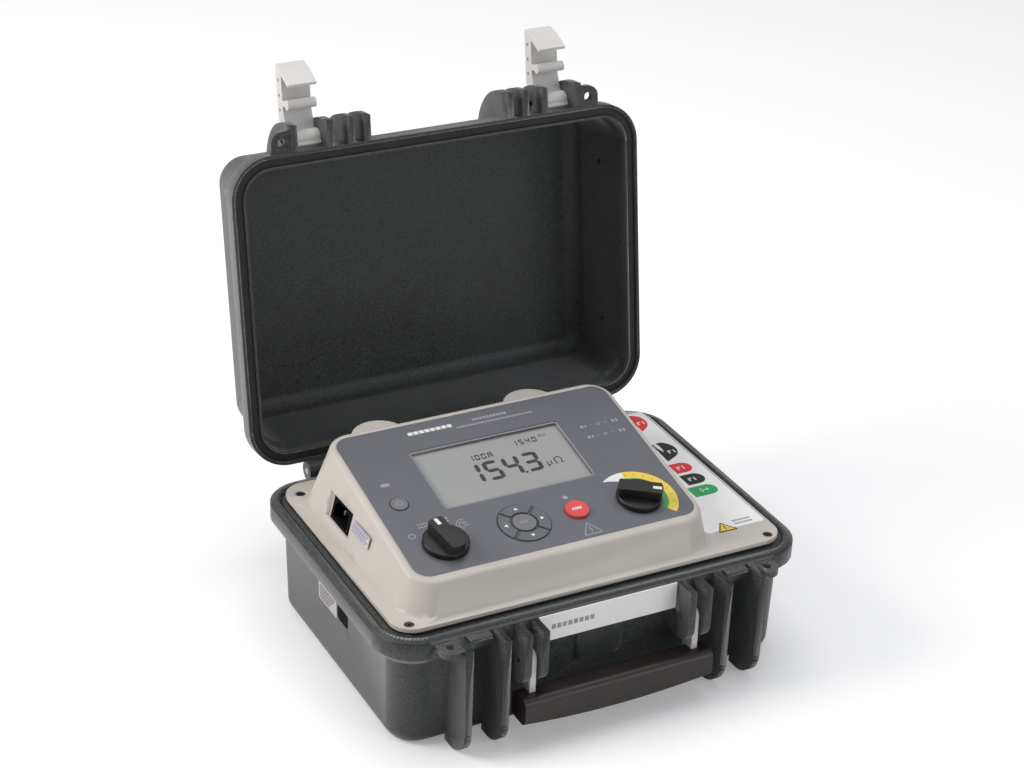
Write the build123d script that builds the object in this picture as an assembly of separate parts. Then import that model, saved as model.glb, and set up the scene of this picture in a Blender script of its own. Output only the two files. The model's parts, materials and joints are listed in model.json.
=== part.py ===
from build123d import *
from math import atan, cos, degrees, pi, radians, sin
import os

# Portable low-resistance ohmmeter in a hard carry case, millimetres.
# Origin: centre of the flat bottom face. +X right, -Y front (carry handle), +Z up.
# The case stands open: every lid piece is drawn closed and turned by lid_open at the end.

# ---- case, driving dimensions ----
case_width = 400.0        # over the rim
case_depth = 286.0        # over the rim
base_height = 110.0       # bottom face to rim plane
lid_height = 90.0         # rim plane to lid top
lid_open = 98.2           # lid angle at rest, on its stop
rim_corner = 38.0
rim_band = 14.0           # upright band under the rim plane
rim_step = 13.0           # the walls stand in from the rim by this much
wall = 4.0
floor_thickness = 5.0
wall_draft = 1.2          # degrees, base
lid_draft = 3.4           # degrees, lid
base_edge = 12.0          # bottom edge radius
lid_edge = 20.0           # lid top edge radius
land_width = 3.4          # flat outer land of both rims
tongue_width = 4.4        # ridge of the base that presses on the seal
tongue_height = 2.0
groove_width = 2.6
groove_depth = 2.5
lip_width = 2.0
rim_gap = 0.2             # closed gap between the two rims
seal_gap = 0.5            # closed gap between ridge and seal
seal_top = 7.0            # seal channel above the rim plane
pocket_height = 12.0      # straight part of the lid's mouth
pocket_taper = 6.0
ledge_width = 12.0        # inner ledge that carries the panel
ledge_depth = 10.0
ledge_corner = 12.0

# ---- front ribs and lid ears ----
rib_thick = 6.5
handle_rib = 66.8         # inner face of the first rib, from the middle
latch_rib = 101.8         # inner face of the first latch rib
rib_reach = 22.0          # beyond the rim
short_rib_depth = 52.5    # below the rim plane
short_rib_round = 16.0
long_rib_round = 28.0
ear_height = 62.0
ear_gap = 0.4
padlock_from_rib = 7.8    # hole centre beyond the outer rib
padlock_out = 9.2         # hole centre beyond the rim
padlock_hole_r = 4.0
padlock_tab_r = 10.0
padlock_tab_thick = 6.0
padlock_tab_drop = 1.2    # tab face to rim plane

# ---- hinge ----
hinge_out = 10.1          # axis behind the rim
hinge_up = 1.7            # axis above the rim plane
knuckle_r = 9.0
hinge_pin_r = 3.0
hinge_stations = (-124.0, 124.0)
hinge_length = 48.0
base_knuckle = 11.0
hinge_side_gap = 0.5

# ---- latch (drawn raised, in closed-lid position) ----
latch_width = 26.6
latch_gap = 0.5
catch_in = 3.1            # latch edge to the end of the ledge it snaps under
latch_pivot_out = 5.0     # pivot beyond the rim
latch_pivot_up = 22.0     # pivot above the rim plane
latch_pin_r = 2.5
latch_boss_r = 8.0
latch_length = 64.0       # pivot to tip
latch_thick = 22.0        # pivot to outer face
latch_bar_r = 4.5
latch_travel = 90.0

# ---- handle ----
handle_pivot_out = 9.0
handle_pivot_down = 30.0  # below the rim plane
handle_pin_r = 3.0
arm_thick = 6.0
arm_gap = 1.5
arm_width = 15.0
grip_length = 180.0
grip_height = 30.0
grip_depth = 25.0
grip_bottom = 19.0        # above the bottom face
grip_bow = 5.0
handle_travel = 95.0

# ---- instrument panel ----
deck_gap = 2.2            # panel edge to rim lip
deck_top = 6.8            # above the rim plane
deck_thick = 3.6
deck_tighter = 3.0        # the panel's corner radius is smaller than the lip's by this
panel_wall = 3.0
gasket_width = 7.0
gasket_gap = 0.5          # panel edge to gasket edge
screw_in = (28.3, 28.7)   # screw centres in from the rim's edge, across and along
screw_shift = -4.0        # the four screws sit a little to the front
screw_head_r = 4.2
screw_head_height = 1.6
screw_sink = 2.2          # counterbore depth
screw_key_r = 1.5
screw_shank_r = 2.0
screw_length = 16.0       # shank below the rim plane
screw_clear = 0.4
screw_fit = 0.03
boss_r = 7.5
boss_height = 45.0
pilot_depth = 22.0

# console: foot on the deck, head on the sloping face
foot_left, foot_right, foot_front, foot_back, foot_corner = -174.0, 121.0, -119.5, 112.0, 28.0
head_left, head_right, head_front, head_back, head_corner = -160.5, 116.5, -107.5, 86.0, 22.0
face_height = 55.0        # sloping face above the rim plane at y = 0
face_slope = 0.205        # rise per mm towards the back
head_round = 5.0
pod_r = 25.0
pod_x = (-107.0, 42.0)
pod_y = 84.0
pod_top = 67.0            # above the rim plane

# fascia and what shows on it, in its own plane (u across, v up the slope)
fascia_left, fascia_right, fascia_low, fascia_high, fascia_corner = -154.6, 111.5, -102.5, 81.8, 14.0
fascia_thick = 0.7
fascia_recess = 0.8
lcd_centre = (-24.9, 8.1)
lcd_size = (146.0, 78.2)
lcd_thick = 1.5
lcd_sink = 0.5
left_knob_at = (-116.1, -70.5)
right_knob_at = (68.5, -70.2)
left_knob_angle = 100.0
right_knob_angle = -28.0
knob_r = 20.0
knob_skirt = 5.0
knob_height = 13.5
knob_bar = 14.0
knob_lift = 0.5
spindle_r = 3.0
spindle_fit = 0.02
spindle_clear = 0.35
spindle_in = 11.5         # depth of its hole in the knob
pad_centre = (-41.2, -67.6)
pad_r = 22.6
pad_split = 3.0
ok_r = 10.2
pad_gap = 2.4            # round the middle key
test_at = (9.0, -67.6)
test_r = 10.4
power_at = (-132.5, -12.9)
power_r = 7.4
status_at = (7.2, -49.4)
status_r = 2.4
sensor_at = (-134.1, 13.3)
sensor_size = (9.0, 4.4)
key_clear = 0.35
key_flange = 0.8
key_flange_thick = 1.0
key_rise = {"pad": 1.0, "ok": 1.2, "power": 1.0, "test": 2.6}
board_drop = 9.0          # display board top under the sloping face
board_thick = 1.6
dome_r = 3.0
dome_height = 2.2
switch_r = 14.0
switch_height = 16.0

# terminals on the console's right wall: name -> (y, height above rim, radius)
big_terminals = {"c1": (70.0, 37.0), "c2": (38.0, 33.0)}
small_terminals = {"p1": (11.0, 28.0), "p2": (-10.0, 26.0), "g": (-31.0, 23.0)}
big_collar_r = 13.0
big_bore_r = 6.5
small_collar_r = 7.0
small_bore_r = 2.0
terminal_face = 124.0     # X of the collar faces
terminal_depth = 30.0

# mains inlet on the console's left wall
inlet_at_y = 31.0
inlet_up = 27.5           # above the rim plane
inlet_frame = (46.0, 24.0)
inlet_recess = 3.0
inlet_body = (36.0, 22.4)
inlet_cavity = (27.5, 16.5)
inlet_depth = 20.0
inlet_pin = (2.0, 4.0, 11.0)
inlet_pitch = 7.0
inlet_stagger = 2.0
inlet_label_size, inlet_label_gap = (34.0, 11.0), 3.0

# ---- small trim ----
name_half, name_thick, name_drop = 66.0, 1.2, 25.5
side_label_size, side_label_at = (39.0, 17.0), (13.5, 67.0)
vent_size, vent_at = (22.0, 16.0), (-18.0, 68.0)
vent_depth = 2.2
trim_thick = 0.6
stud_y, stud_up = (-78.0, 78.0), 40.0
stud_r, stud_shank_r = 4.0, 2.0
overlay_thick = 0.3
overlay_in = 22.0         # overlay ends in from the panel's front and back edges

# ---- inside the base ----
tray_lift = 2.0           # tray above the floor
tray_thick = 1.5
tray_inset = 14.0         # tray edge to wall
tray_lip = 22.0
tray_foot_r = 5.0
tray_foot_in = 20.0
battery_size, battery_at = (124.0, 84.0, 58.0), (-88.0, -52.0)
core_size, core_at = (62.0, 50.0, 52.0), (101.0, 37.0)
core_leg = 20.0
core_window = (12.0, 28.0)
core_window_up = 12.0
coil_overhang = 8.0
coil_clear = 1.0
coil_fit = 0.2
sink_size, sink_at = (88.0, 70.0, 34.0), (102.0, -57.0)
sink_base, fin_thick, fin_count = 6.0, 2.0, 10
main_board_size, main_board_at, main_board_up = (140.0, 100.0), (-80.0, 56.0), 84.0
standoff_r, standoff_in = 3.0, 8.0

os.makedirs("parts", exist_ok=True)

# ---- places worked out from the sizes above ----
rib_inner = {"d": handle_rib, "c": handle_rib + rib_thick + arm_thick + 2 * arm_gap,
             "b": latch_rib, "a": latch_rib + rib_thick + latch_width + 2 * latch_gap}
half_w = case_width / 2
padlock_x = rib_inner["a"] + rib_thick + padlock_from_rib
half_d = case_depth / 2
rim_z = base_height
case_top = rim_z + lid_height
wall_x = half_w - rim_step
wall_y = half_d - rim_step
front = -half_d
hinge_y = half_d + hinge_out
hinge_z = rim_z + hinge_up
rib_front = front - rib_reach
band_z = rim_z - rim_band
step_z = band_z - rim_step
lip_inset = land_width + 0.4 + tongue_width + groove_width + lip_width
ledge_in = lip_inset + ledge_width
deck_in = lip_inset + deck_gap
deck_corner = rim_corner - deck_in - deck_tighter
deck_z = rim_z + deck_top
deck_low = deck_z - deck_thick
tray_z = floor_thickness + tray_lift
tray_top = tray_z + tray_thick
slope_angle = degrees(atan(face_slope))
slope_rad = radians(slope_angle)
face = Plane(origin=(0, 0, rim_z + face_height), x_dir=(1, 0, 0), z_dir=(0, -sin(slope_rad), cos(slope_rad)))
latch_x = (rib_inner["b"] + rib_thick + rib_inner["a"]) / 2
latch_y = front - latch_pivot_out
latch_z = rim_z + latch_pivot_up
handle_y = front - handle_pivot_out
handle_z = rim_z - handle_pivot_down
arm_x = (rib_inner["d"] + rib_thick + rib_inner["c"]) / 2
sides = (-1, 1)


def slab(hx, hy, r, z0, z1, cx=0.0, cy=0.0):
    """Rounded rectangular block between two heights."""
    return extrude(Pos(cx, cy, z0) * RectangleRounded(2 * hx, 2 * hy, r), z1 - z0)


def tapered(low, high):
    """Ruled solid between two rounded rectangles given as (hx, hy, r, z)."""
    faces = [Pos(0, 0, z) * RectangleRounded(2 * hx, 2 * hy, r) for hx, hy, r, z in (low, high)]
    return loft(faces, ruled=True)


def ring(outer, inner, z0, z1):
    """Flat ring that follows the rim, between two insets from the rim's edge."""
    outside = slab(half_w - outer, half_d - outer, rim_corner - outer, z0, z1)
    return outside - slab(half_w - inner, half_d - inner, rim_corner - inner, z0 - 1, z1 + 1)


def box(x0, x1, y0, y1, z0, z1):
    """Block given by its two corners."""
    return Pos((x0 + x1) / 2, (y0 + y1) / 2, (z0 + z1) / 2) * Box(abs(x1 - x0), abs(y1 - y0), abs(z1 - z0))


def rod(x0, x1, y, z, r):
    """Cylinder along X."""
    return Pos((x0 + x1) / 2, y, z) * Rot(0, 90, 0) * Cylinder(r, abs(x1 - x0))


def post(x, y, z0, z1, r):
    """Cylinder along Z."""
    return Pos(x, y, (z0 + z1) / 2) * Cylinder(r, z1 - z0)


def plate_x(outline, x0, x1):
    """Plate between two X values from a closed YZ outline."""
    sketch = make_face(outline)
    return extrude(Plane.YZ.offset(min(x0, x1)) * sketch, abs(x1 - x0))


def on_face(shape, u=0.0, v=0.0, w=0.0):
    """Place a shape in the sloping face's own axes."""
    return face * Pos(u, v, w) * shape


def face_prism(sketch, w0, w1):
    """Prism on the sloping face between two heights over it."""
    return extrude(face.offset(w0) * sketch, w1 - w0)


def disc(at, r):
    return Pos(at[0], at[1]) * Circle(r)


def face_rect(left, right, low, high, r):
    centre = Pos((left + right) / 2, (low + high) / 2)
    return centre * RectangleRounded(right - left, high - low, r)


def opened(shape):
    """Turn a closed-lid shape about the hinge to the rest position."""
    return Pos(0, hinge_y, hinge_z) * Rot(-lid_open, 0, 0) * Pos(0, -hinge_y, -hinge_z) * shape


# ---- base of the case ----
def base_rib(x_inner, side, long):
    """Upright front rib: long ones reach the bottom, short ones carry the handle pins."""
    back = -wall_y + 2
    low = 0.5 if long else rim_z - short_rib_depth
    r = long_rib_round if long else short_rib_round
    top = rim_z - ear_gap
    bend = r * (1 - cos(pi / 4))
    outline = Polyline((back, low), (back, top), (rib_front, top), (rib_front, low + r))
    outline += ThreePointArc((rib_front, low + r), (rib_front + bend, low + bend), (rib_front + r, low))
    outline += Line((rib_front + r, low), (back, low))
    return plate_x(outline, side * x_inner, side * (x_inner + rib_thick))


def padlock_tab(side, z0, z1):
    """Rounded tab beside the outer rib, without its hole."""
    y = front - padlock_out
    x_rib = side * (rib_inner["a"] + 1)
    tab = post(side * padlock_x, y, z0, z1, padlock_tab_r)
    tab += box(x_rib, side * (padlock_x + padlock_tab_r), front + 3, y, z0, z1)
    return tab + box(x_rib, side * padlock_x, front + 3, y - padlock_tab_r, z0, z1)


def padlock_hole(side, z0, z1):
    return post(side * padlock_x, front - padlock_out, z0 - 1, z1 + 1, padlock_hole_r)


def knuckle_spans(station, inner):
    """X spans of one hinge station: the lid's single knuckle, or the base's two."""
    a, b = station - hinge_length / 2, station + hinge_length / 2
    if inner:
        gap = base_knuckle + hinge_side_gap
        return ((a + gap, b - gap),)
    return ((a, a + base_knuckle), (b - base_knuckle, b))


def base_hinge():
    body = None
    low = hinge_z - knuckle_r
    for station in hinge_stations:
        for x0, x1 in knuckle_spans(station, False):
            piece = rod(x0, x1, hinge_y, hinge_z, knuckle_r)
            piece += box(x0, x1, half_d - 4, hinge_y, low, rim_z - 0.6)
            corners = [(wall_y - 2, step_z - 16), (hinge_y + 4, low + 4), (wall_y - 2, low + 4)]
            web = Polyline(*corners, close=True)
            mid = (x0 + x1) / 2
            piece += plate_x(web, mid - rib_thick / 2, mid + rib_thick / 2)
            body = piece if body is None else body + piece
    return body


def catch_ledge(side):
    """Ledge between the outer ribs that the latch bar snaps under."""
    half = latch_width / 2 - catch_in
    x0, x1 = side * (latch_x - half), side * (latch_x + half)
    return box(x0, x1, front + 4, front - 7.5, rim_z - 3.7, rim_z - 0.6)


def make_base_shell():
    grow = step_z * sin(radians(wall_draft)) / cos(radians(wall_draft))
    r_wall = rim_corner - rim_step
    tab_z = rim_z - padlock_tab_drop
    shell = tapered((wall_x - grow, wall_y - grow, r_wall, 0), (wall_x, wall_y, r_wall, step_z))
    shell = fillet(shell.faces().sort_by(Axis.Z)[0].edges(), base_edge)
    shell += tapered((wall_x, wall_y, r_wall, step_z), (half_w, half_d, rim_corner, band_z))
    shell += slab(half_w, half_d, rim_corner, band_z, rim_z)
    for side in sides:
        shell += base_rib(rib_inner["a"], side, True)
        shell += base_rib(rib_inner["b"], side, True)
        shell += base_rib(rib_inner["c"], side, False)
        shell += base_rib(rib_inner["d"], side, False)
        shell += padlock_tab(side, tab_z - padlock_tab_thick, tab_z)
        shell += catch_ledge(side)
    shell += box(-name_half - 1.5, name_half + 1.5, front, -wall_y + 1, rim_z - name_drop, band_z + 1)
    pad = Pos(0, step_z - 16) * RectangleRounded(44, 40, 9)
    shell += extrude(Plane.XZ.offset(wall_y - 2) * pad, 4.5)
    shell += base_hinge()
    # hollow, with the ledge that carries the panel
    inner_x, inner_y = wall_x - wall, wall_y - wall
    inner_r = rim_corner - rim_step - wall
    ledge_low = rim_z - ledge_depth
    cavity_low = (inner_x - grow, inner_y - grow, inner_r, floor_thickness)
    shell -= tapered(cavity_low, (inner_x, inner_y, inner_r, ledge_low))
    shell -= slab(half_w - ledge_in, half_d - ledge_in, ledge_corner, ledge_low - 1, rim_z + 1)
    boss_low = rim_z - boss_height
    for sx, sy in screw_places():
        boss = post(sx, sy, boss_low, rim_z, boss_r)
        shell += boss & slab(wall_x - 1, wall_y - 1, r_wall, boss_low, rim_z)
        shell -= post(sx, sy, rim_z - pilot_depth, rim_z + 1, screw_shank_r + screw_fit)
    # rim: flat land, raised ridge, groove, inner lip
    ridge_in = land_width + 0.4
    shell += ring(ridge_in, ridge_in + tongue_width, rim_z - 1, rim_z + tongue_height)
    groove_in = ridge_in + tongue_width
    shell -= ring(groove_in, groove_in + groove_width, rim_z - groove_depth, rim_z + 1)
    for side in sides:
        shell -= padlock_hole(side, tab_z - padlock_tab_thick, tab_z)
        shell -= rod(side * (rib_inner["d"] - 1), side * (rib_inner["c"] + rib_thick + 1), handle_y, handle_z,
                     handle_pin_r)
    for station in hinge_stations:
        shell -= rod(station - hinge_length, station + hinge_length, hinge_y, hinge_z, hinge_pin_r)
    vent = Pos(-vent_at[0], vent_at[1]) * RectangleRounded(vent_size[0], vent_size[1], 5)
    shell -= extrude(Plane(origin=(-wall_x + vent_depth, 0, 0), x_dir=(0, -1, 0), z_dir=(-1, 0, 0)) * vent, 6)
    return shell


def screw_places():
    x, y = half_w - screw_in[0], half_d - screw_in[1]
    return [(sx * x, sy * y + screw_shift) for sx in sides for sy in sides]


# ---- lid, drawn closed ----
def lid_ear(x_inner, side):
    z0 = rim_z + ear_gap
    ear_front = rib_front - 1
    start, top = (ear_front, z0 + 12), (-wall_y + 3, z0 + ear_height)
    outline = Polyline(top, (-wall_y + 3, z0), (ear_front, z0), start)
    outline += ThreePointArc(start, (ear_front + 10.5, z0 + ear_height * 0.70), top)
    return plate_x(outline, side * x_inner, side * (x_inner + rib_thick))


def lid_hinge():
    body = None
    for station in hinge_stations:
        for x0, x1 in knuckle_spans(station, True):
            piece = rod(x0, x1, hinge_y, hinge_z, knuckle_r)
            piece += box(x0, x1, half_d - 4, hinge_y, rim_z + 3, hinge_z + knuckle_r)
            body = piece if body is None else body + piece
    return body


def lid_wall_inset(z):
    """How far the lid's outer wall has come in at a height, from its draft."""
    return (z - (rim_z + rim_band + rim_step)) * sin(radians(lid_draft)) / cos(radians(lid_draft))


def make_lid_shell():
    low = rim_z + rim_gap
    band = rim_z + rim_band
    step = band + rim_step
    r_wall = rim_corner - rim_step
    d_top = lid_wall_inset(case_top)
    tab_z = rim_z + padlock_tab_drop
    shell = slab(half_w, half_d, rim_corner, low, band)
    shell += tapered((half_w, half_d, rim_corner, band), (wall_x, wall_y, r_wall, step))
    body = tapered((wall_x, wall_y, r_wall, step), (wall_x - d_top, wall_y - d_top, r_wall, case_top))
    shell += fillet(body.faces().sort_by(Axis.Z)[-1].edges(), lid_edge)
    for side in sides:
        for name in rib_inner:
            shell += lid_ear(rib_inner[name], side)
        shell += padlock_tab(side, tab_z, tab_z + padlock_tab_thick)
    shell += lid_hinge()
    # inside: a pocket for the panel, then the walls, then the top
    mouth_x, mouth_y, mouth_r = half_w - lip_inset, half_d - lip_inset, rim_corner - lip_inset
    room_x, room_y, room_r = wall_x - wall, wall_y - wall, r_wall - wall
    pocket_top = rim_z + pocket_height
    room_low = pocket_top + pocket_taper
    shell -= slab(mouth_x, mouth_y, mouth_r, low - 1, pocket_top)
    shell -= tapered((mouth_x, mouth_y, mouth_r, pocket_top), (room_x, room_y, room_r, room_low))
    room_top = (room_x - d_top, room_y - d_top, room_r, case_top - wall)
    room = tapered((room_x, room_y, room_r, room_low), room_top)
    shell -= fillet(room.faces().sort_by(Axis.Z)[-1].edges(), lid_edge - wall)
    seal_in = land_width - 0.2
    shell -= ring(seal_in, lip_inset - lip_width, low - 1, rim_z + seal_top)
    for side in sides:
        shell -= padlock_hole(side, tab_z, tab_z + padlock_tab_thick)
        x0 = side * (rib_inner["b"] + rib_thick)
        x1 = side * rib_inner["a"]
        shell -= rod(x0, x1, latch_y, latch_z, latch_boss_r + 3)
        bore = (side * (rib_inner["b"] - 1), side * (rib_inner["a"] + rib_thick + 1))
        shell -= rod(*bore, latch_y, latch_z, latch_pin_r)
        for y in stud_y:
            shell -= stud(side, y)
    for station in hinge_stations:
        shell -= rod(station - hinge_length, station + hinge_length, hinge_y, hinge_z, hinge_pin_r + 0.1)
    return shell


def stud(side, y):
    """Rivet through the lid's side wall."""
    z = rim_z + stud_up
    x = wall_x - lid_wall_inset(z)
    head = rod(side * (x - 1.5), side * (x + 1.2), y, z, stud_r)
    return head + rod(side * (x - wall - 1.6), side * (x - 1.5), y, z, stud_shank_r)


def make_lid_seal():
    seal_in = land_width - 0.2
    clear = 0.05
    low, high = rim_z + tongue_height + seal_gap, rim_z + seal_top - clear
    return ring(seal_in + clear, lip_inset - lip_width - clear, low, high)


def latch_outline():
    """Raised latch, seen along X: outer face up, tip towards the front."""
    y, z = latch_y, latch_z
    top = z + latch_thick
    tip = y - latch_length
    outer = [(tip, top), (y - 14, top), (y - 2, z + latch_boss_r)]
    web_line = outer + [(y - 1, z + 1), (y - 10, z + 6), (y - 24, z + 10)]
    web_line += [(tip + 9, z + 10), (tip + 5, z + 9)]
    flange_line = [(tip, top), (tip + 5, z + 8), (tip + 14, z - 6.5)]
    flange_line += [(tip + 16.5, z - 5), (tip + 9, z + 8.5), (tip + 8, top)]
    foot_line = [(y - 6, z - 4), (y + 3.2, z - 9.6), (y + 6.2, z - 7.8), (y + 4, z - 2)]
    return web_line, flange_line, foot_line


def make_latch(side):
    x0, x1 = side * latch_x - latch_width / 2, side * latch_x + latch_width / 2
    body = rod(x0, x1, latch_y, latch_z, latch_boss_r)
    for line in latch_outline():
        body += plate_x(Polyline(*line, close=True), x0, x1)
    bar_y, bar_z = latch_y - 31, latch_z + 1
    body += rod(x0, x1, bar_y, bar_z, latch_bar_r)
    body += box(x0, x1, bar_y - 2.5, bar_y + 2.5, bar_z, bar_z + 10)
    for k in range(3):
        hole_y = latch_y - 23.5 - 13.5 * k
        for end in (x0, x1):
            body -= rod(end - 2, end + 2, hole_y, latch_z + 17, 1.8)
    return body - rod(x0 - 1, x1 + 1, latch_y, latch_z, latch_pin_r + 0.1)


# ---- handle, hanging ----
def make_handle_frame():
    core_z = grip_bottom + grip_height / 2
    body = None
    for side in sides:
        x0, x1 = side * arm_x - arm_thick / 2, side * arm_x + arm_thick / 2
        arm = rod(x0, x1, handle_y, handle_z, arm_width / 2)
        arm += box(x0, x1, handle_y - arm_width / 2, handle_y + arm_width / 2, core_z, handle_z)
        arm -= rod(x0 - 1, x1 + 1, handle_y, handle_z, handle_pin_r + 0.1)
        body = arm if body is None else body + arm
    return body + box(-arm_x, arm_x, handle_y - 5, handle_y + 5, core_z - 8, core_z + 4)


def grip_blank():
    """Grip with a bowed underside and rounded edges."""
    half = grip_length / 2
    end_z = grip_bottom + grip_bow
    top_z = grip_bottom + grip_height
    line = Polyline((-half, end_z), (-half, top_z), (half, top_z), (half, end_z))
    line += ThreePointArc((half, end_z), (0, grip_bottom), (-half, end_z))
    front_y = handle_y - grip_depth / 2 - 7
    blank = extrude(Plane.XZ.offset(-front_y - grip_depth) * make_face(line), grip_depth)
    long_edges = blank.edges().filter_by(Axis.X) + blank.edges().filter_by(GeomType.CIRCLE)
    return fillet(long_edges, 7)


def make_handle_grip(frame):
    return grip_blank() - frame


# ---- instrument panel ----
def console_block(inset, drop, low):
    """Console solid; inset and drop give the inner surface of its wall."""
    stretch = 1 / cos(slope_rad)
    low_v, high_v = (head_front + inset) * stretch, (head_back - inset) * stretch
    foot_x = (foot_left + inset, foot_right - inset)
    foot = face_rect(*foot_x, foot_front + inset, foot_back - inset, foot_corner - inset)
    head = face_rect(head_left + inset, head_right - inset, low_v, high_v, head_corner - inset)
    return loft([Pos(0, 0, low) * foot, face.offset(-drop) * head], ruled=True)


def key_sketches():
    """Key name -> its outline in the sloping face's plane, and how far it stands proud."""
    keys = {}
    reach = pad_r * 2
    wedge = make_face(Polyline((0, 0), (reach, -reach), (reach, reach), close=True))
    band = disc((0, 0), pad_r) - disc((0, 0), ok_r + pad_gap)
    sector = band & (Pos(pad_split / 2 / sin(pi / 4), 0) * wedge)
    for k, name in enumerate(("right", "up", "left", "down")):
        keys["key_" + name] = (Pos(*pad_centre) * Rot(0, 0, 90 * k) * sector, key_rise["pad"])
    keys["key_ok"] = (disc(pad_centre, ok_r), key_rise["ok"])
    keys["key_power"] = (disc(power_at, power_r), key_rise["power"])
    keys["key_test"] = (disc(test_at, test_r), key_rise["test"])
    return keys


def grown(sketch, by):
    return offset(sketch, amount=by)


def key_openings():
    return [grown(sketch, key_clear) for sketch, rise in key_sketches().values()]


def wall_x_right(z):
    """X of the console's right wall at a height, between foot and head."""
    top = rim_z + face_height
    return foot_right + (head_right - foot_right) * (z - deck_z) / (top - deck_z)


def left_wall_plane():
    """Plane on the console's left wall at the inlet, facing out."""
    top = rim_z + face_height + face_slope * inlet_at_y
    lean = atan((head_left - foot_left) / (top - deck_z))
    z = rim_z + inlet_up
    x = foot_left + (z - deck_z) * sin(lean) / cos(lean)
    return Plane(origin=(x, inlet_at_y, z), x_dir=(0, -1, 0), z_dir=(-cos(lean), 0, sin(lean)))


def terminal_bosses():
    body = None
    for places, r in ((big_terminals, big_collar_r), (small_terminals, small_collar_r)):
        for y, up in places.values():
            z = rim_z + up
            piece = rod(wall_x_right(z) - 8, terminal_face - 1.5, y, z, r + 2.5)
            body = piece if body is None else body + piece
    return body


def make_panel():
    deck = slab(half_w - deck_in, half_d - deck_in, deck_corner, deck_low, deck_z)
    outer = console_block(0, 0, deck_z - 1)
    outer = fillet(outer.faces().sort_by(Axis.Z)[-1].edges(), head_round)
    panel = deck + outer
    for x in pod_x:
        pod = post(x, pod_y, deck_z - 1, rim_z + pod_top, pod_r)
        panel += fillet(pod.faces().sort_by(Axis.Z)[-1].edges(), 3)
    panel -= console_block(panel_wall, panel_wall, deck_low - 1)
    for x in pod_x:
        panel -= post(x, pod_y, deck_low - 1, rim_z + pod_top - panel_wall, pod_r - panel_wall)
    panel += terminal_bosses() - console_block(panel_wall + 5, panel_wall, deck_z - 2)
    # face recess and openings
    recess = fascia_outline(0.1)
    panel -= face_prism(recess, -fascia_recess, 20)
    for sketch in [window_opening(1.5)] + key_openings():
        panel -= face_prism(sketch, -panel_wall - 1, 1)
    for at in (left_knob_at, right_knob_at):
        panel -= face_prism(disc(at, spindle_r + spindle_clear), -panel_wall - 1, 1)
    panel -= face_prism(disc(status_at, status_r + 0.05), -panel_wall - 1, 1)
    panel -= face_prism(sensor_outline(0.05), -panel_wall - 1, 1)
    # terminals, inlet, screws
    for places, r in ((big_terminals, big_collar_r), (small_terminals, small_collar_r)):
        for y, up in places.values():
            panel -= rod(terminal_face - terminal_depth, terminal_face + 5, y, rim_z + up, r + 0.05)
    here = left_wall_plane()
    backing = here.offset(-inlet_recess - panel_wall) * Rectangle(inlet_frame[0] + 6, inlet_frame[1] + 6)
    panel += extrude(backing, inlet_recess + panel_wall - 1.5)
    panel -= extrude(here.offset(-inlet_recess) * RectangleRounded(*inlet_frame, 2), inlet_recess + 8)
    panel -= extrude(here.offset(-inlet_recess - panel_wall - 1) * Rectangle(*inlet_body), panel_wall + 2)
    for sx, sy in screw_places():
        panel -= post(sx, sy, deck_z - screw_sink, deck_z + 1, screw_head_r + screw_clear)
        panel -= post(sx, sy, deck_low - 1, deck_z, screw_shank_r + screw_clear)
    return panel


def window_opening(shrink):
    w, h = lcd_size[0] - 2 * shrink + 0.6, lcd_size[1] - 2 * shrink + 0.6
    return Pos(*lcd_centre) * RectangleRounded(w, h, 3)


def sensor_outline(grow):
    return Pos(*sensor_at) * Ellipse(sensor_size[0] / 2 + grow, sensor_size[1] / 2 + grow)


def fascia_outline(grow):
    across = (fascia_left - grow, fascia_right + grow)
    return face_rect(*across, fascia_low - grow, fascia_high + grow, fascia_corner)


def make_fascia():
    sheet = fascia_outline(0)
    sheet -= Pos(*lcd_centre) * RectangleRounded(*lcd_size, 3.5)
    for sketch in key_openings():
        sheet -= sketch
    for at in (left_knob_at, right_knob_at):
        sheet -= disc(at, spindle_r + spindle_clear)
    sheet -= disc(status_at, status_r + 0.05)
    sheet -= sensor_outline(0.05)
    low = -fascia_recess + 0.02
    return face_prism(sheet, low, low + fascia_thick)


def make_key(sketch, rise):
    cap = face_prism(sketch, -panel_wall - 0.5, rise)
    flange = face_prism(grown(sketch, key_flange), -panel_wall - 0.4 - key_flange_thick, -panel_wall - 0.4)
    return cap + flange


def make_knob(at, angle):
    """Skirted knob with a pointer bar; w = 0 is the sloping face."""
    skirt = Cylinder(knob_r, knob_skirt)
    skirt = Pos(0, 0, knob_skirt / 2) * skirt
    skirt = fillet(skirt.edges().sort_by(Axis.Z)[-1], 1.5)
    bar = extrude(RectangleRounded(2 * knob_r - 1, knob_bar, 3), knob_height)
    bar = bar & Cylinder(knob_r - 0.5, 4 * knob_height)
    knob = skirt + bar
    knob -= Pos(0, 0, spindle_in / 2) * Cylinder(spindle_r + spindle_fit, spindle_in)
    return on_face(Rot(0, 0, angle) * knob, at[0], at[1], knob_lift)


def make_spindle(at):
    low, high = -board_drop - board_thick - 10, knob_lift + spindle_in - 0.3
    return on_face(Cylinder(spindle_r, high - low), at[0], at[1], (low + high) / 2)


def make_switch(at):
    top = -board_drop - board_thick - 0.05
    body = Pos(0, 0, top - switch_height / 2) * Cylinder(switch_r, switch_height)
    pins = None
    for k in range(8):
        pin = Rot(0, 0, 45 * k) * Pos(switch_r - 2, 0, top - switch_height - 2) * Box(1, 2, 4)
        pins = pin if pins is None else pins + pin
    body = body + pins - Cylinder(spindle_r + 0.1, 200)
    return on_face(body, *at)


def board_outline():
    return face_rect(fascia_left + 6, fascia_right - 6, fascia_low + 8, fascia_high - 12, 4)


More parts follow.
